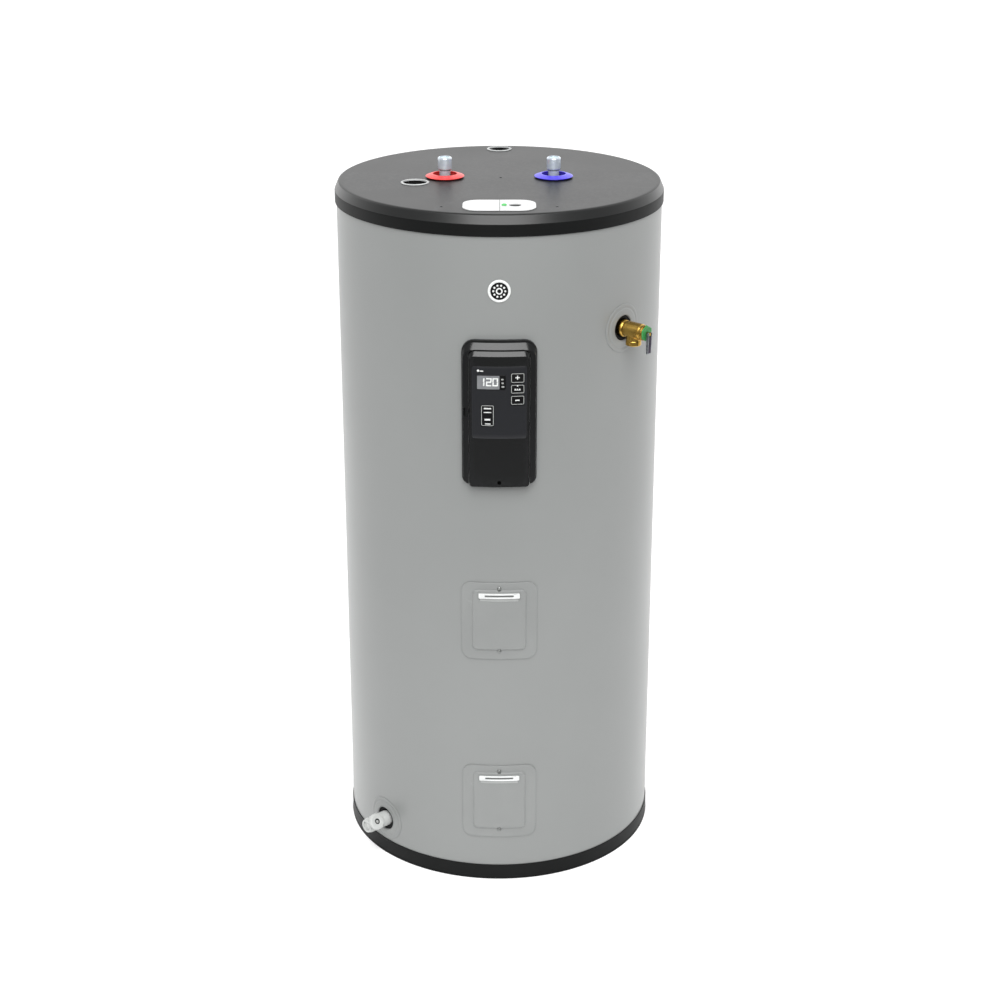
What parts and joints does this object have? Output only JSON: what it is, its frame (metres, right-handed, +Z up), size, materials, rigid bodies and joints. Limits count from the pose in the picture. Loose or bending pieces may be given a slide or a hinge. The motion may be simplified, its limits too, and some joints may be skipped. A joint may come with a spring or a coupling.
{
  "type": "tank water heater",
  "caption": "Floor-standing insulated storage tank that heats water with electric elements, with pipe nipples on top, control panel, relief valve and drain valve.",
  "frame": {"origin": "centre of the base pan's underside, on the tank's axis", "axes": "+Z up along the tank's axis, the control panel faces -Y, cold inlet towards +X"},
  "size_m": [0.6158, 0.6303, 1.3659],
  "materials": {
    "jacket_grey": "satin light grey enamel paint",
    "cover_grey": "satin light grey moulding",
    "black_plastic": "matt black moulding",
    "black_steel": "black powder coat",
    "white_plastic": "satin white moulding",
    "foam": "rigid polyurethane foam",
    "tank_steel": "glass-lined steel",
    "zinc": "zinc plated",
    "plate_steel": "coated steel plate",
    "red_plastic": "red moulding",
    "blue_plastic": "blue moulding",
    "grey_plastic": "grey moulding",
    "green_plastic": "green moulding",
    "green_screw": "green coated screw",
    "brass": "machined and cast brass",
    "steel": "plated steel",
    "magnesium": "dull cast rod",
    "copper_sheath": "copper sheathed element",
    "board": "circuit board",
    "overlay": "printed film",
    "display": "display window",
    "badge": "printed disc",
    "rubber_black": "dark foam and rubber",
    "screw_steel": "plated screw",
    "insulation": "pressed fibre pad",
    "clear_tube": "polymer tube"
  },
  "bodies": {
    "tank": {"base_pan": "black_steel", "base_pad": "insulation", "outer_jacket": "jacket_grey", "foam_insulation": "foam", "tank_shell": "tank_steel", "tank_top_head": "tank_steel", "tank_bottom_head": "tank_steel", "top_cap": "black_steel", "cold_nipple": "zinc", "hot_nipple": "zinc", "cold_collar": "blue_plastic", "hot_collar": "red_plastic", "dip_tube": "clear_tube", "anode_rod": "magnesium", "anode_port_ring": "grey_plastic", "anode_port_plug": "black_plastic", "rear_port_ring": "grey_plastic", "rear_port_plug": "black_plastic", "junction_box": "zinc", "junction_cover": "plate_steel", "conduit_plate": "plate_steel", "ground_screw": "green_screw", "round_badge": "badge", "control_bezel": "black_plastic", "control_cover": "black_plastic", "control_cover_screw": "rubber_black", "keypad_overlay": "overlay", "display_window": "display", "control_board": "board", "middle_access_cover": "cover_grey", "lower_access_cover": "cover_grey", "middle_cover_top_screw": "screw_steel", "middle_cover_bottom_screw": "screw_steel", "lower_cover_top_screw": "screw_steel", "lower_cover_bottom_screw": "screw_steel", "upper_heating_element": "copper_sheath", "middle_heating_element": "copper_sheath", "lower_heating_element": "copper_sheath", "high_limit_switch": "black_plastic", "middle_temperature_sensor": "black_plastic", "lower_temperature_sensor": "black_plastic", "relief_valve_body": "brass", "relief_cap": "green_plastic", "relief_spring": "steel", "relief_probe": "copper_sheath", "drain_valve_body": "white_plastic", "relief_port_ring": "cover_grey", "drain_port_ring": "cover_grey", "relief_port_gasket": "rubber_black", "drain_port_gasket": "rubber_black"},
    "relief_stem": {"relief_stem": "brass"},
    "relief_lever": {"relief_lever": "steel", "relief_lever_pin": "steel"},
    "drain_plug": {"drain_plug": "rubber_black"},
    "drain_knob": {"drain_knob": "white_plastic", "drain_stem": "white_plastic"},
    "plus_button": {"plus_button": "overlay"},
    "enter_button": {"enter_button": "overlay"},
    "minus_button": {"minus_button": "overlay"},
    "mode_button": {"mode_button": "overlay"}
  },
  "joints": [
    {"name": "relief_stem_lift", "type": "slide", "parent": "tank", "child": "relief_stem", "axis": [0.7373, -0.6756, 0], "range_m": [0, 0.0041], "deforming": ["relief_spring"]},
    {"name": "relief_lever_hinge", "type": "hinge", "parent": "relief_stem", "child": "relief_lever", "pos_m": [0.26948, -0.24693, 1.0958], "axis": [-0.6756, -0.7373, 0], "range_deg": [0, 80], "stiffness_Nm_per_rad": 0.4, "springref_deg": -17.19},
    {"name": "drain_plug_lift", "type": "slide", "parent": "tank", "child": "drain_plug", "axis": [0.5343, -0.5954, 0.6], "range_m": [0, 0.0071]},
    {"name": "drain_knob_turn", "type": "hinge", "parent": "drain_plug", "child": "drain_knob", "pos_m": [-0.25441, -0.22826, 0.0771], "axis": [0.5343, -0.5954, 0.6], "range_deg": [0, 1080]},
    {"name": "plus_button_press", "type": "slide", "parent": "tank", "child": "plus_button", "axis": [0, 1, 0], "range_m": [0, 0.0006], "stiffness_N_per_m": 600, "springref_m": -0.0005},
    {"name": "enter_button_press", "type": "slide", "parent": "tank", "child": "enter_button", "axis": [0, 1, 0], "range_m": [0, 0.0006], "stiffness_N_per_m": 600, "springref_m": -0.0005},
    {"name": "minus_button_press", "type": "slide", "parent": "tank", "child": "minus_button", "axis": [0, 1, 0], "range_m": [0, 0.0006], "stiffness_N_per_m": 600, "springref_m": -0.0005},
    {"name": "mode_button_press", "type": "slide", "parent": "tank", "child": "mode_button", "axis": [0, 1, 0], "range_m": [0, 0.0006], "stiffness_N_per_m": 600, "springref_m": -0.0005}
  ],
  "couplings": [
    {"joint": "relief_stem_lift", "follows": "relief_lever_hinge", "m_per_rad": 0.0028648},
    {"joint": "drain_plug_lift", "follows": "drain_knob_turn", "m_per_rad": 0.00037136}
  ]
}
